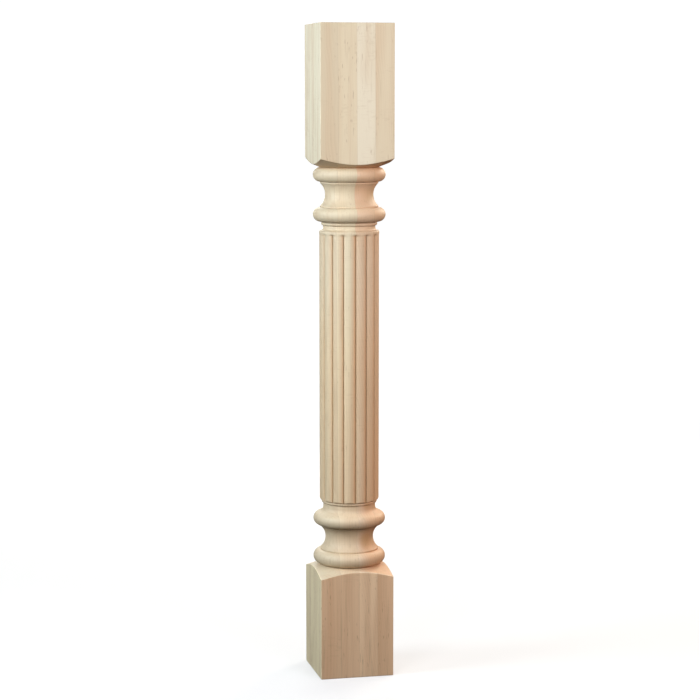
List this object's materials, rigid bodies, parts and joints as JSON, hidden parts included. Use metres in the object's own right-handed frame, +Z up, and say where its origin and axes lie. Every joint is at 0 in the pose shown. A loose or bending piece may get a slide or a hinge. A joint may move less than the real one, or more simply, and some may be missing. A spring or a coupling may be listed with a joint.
{
  "type": "newel post",
  "caption": "Turned maple newel post: square blocks at top and bottom, rings and hollow coves beside them, and a reeded round shaft between.",
  "frame": {"origin": "middle of the underside, where the post stands on the floor", "axes": "+Z up along the post, -Y out of the front face that the picture shows best, +X to the right of that face"},
  "size_m": [0.1016, 0.1016, 0.889],
  "materials": {
    "maple": "bare sanded hard maple, glued up from boards"
  },
  "bodies": {
    "root": {"newel_post": "maple"}
  },
  "joints": []
}
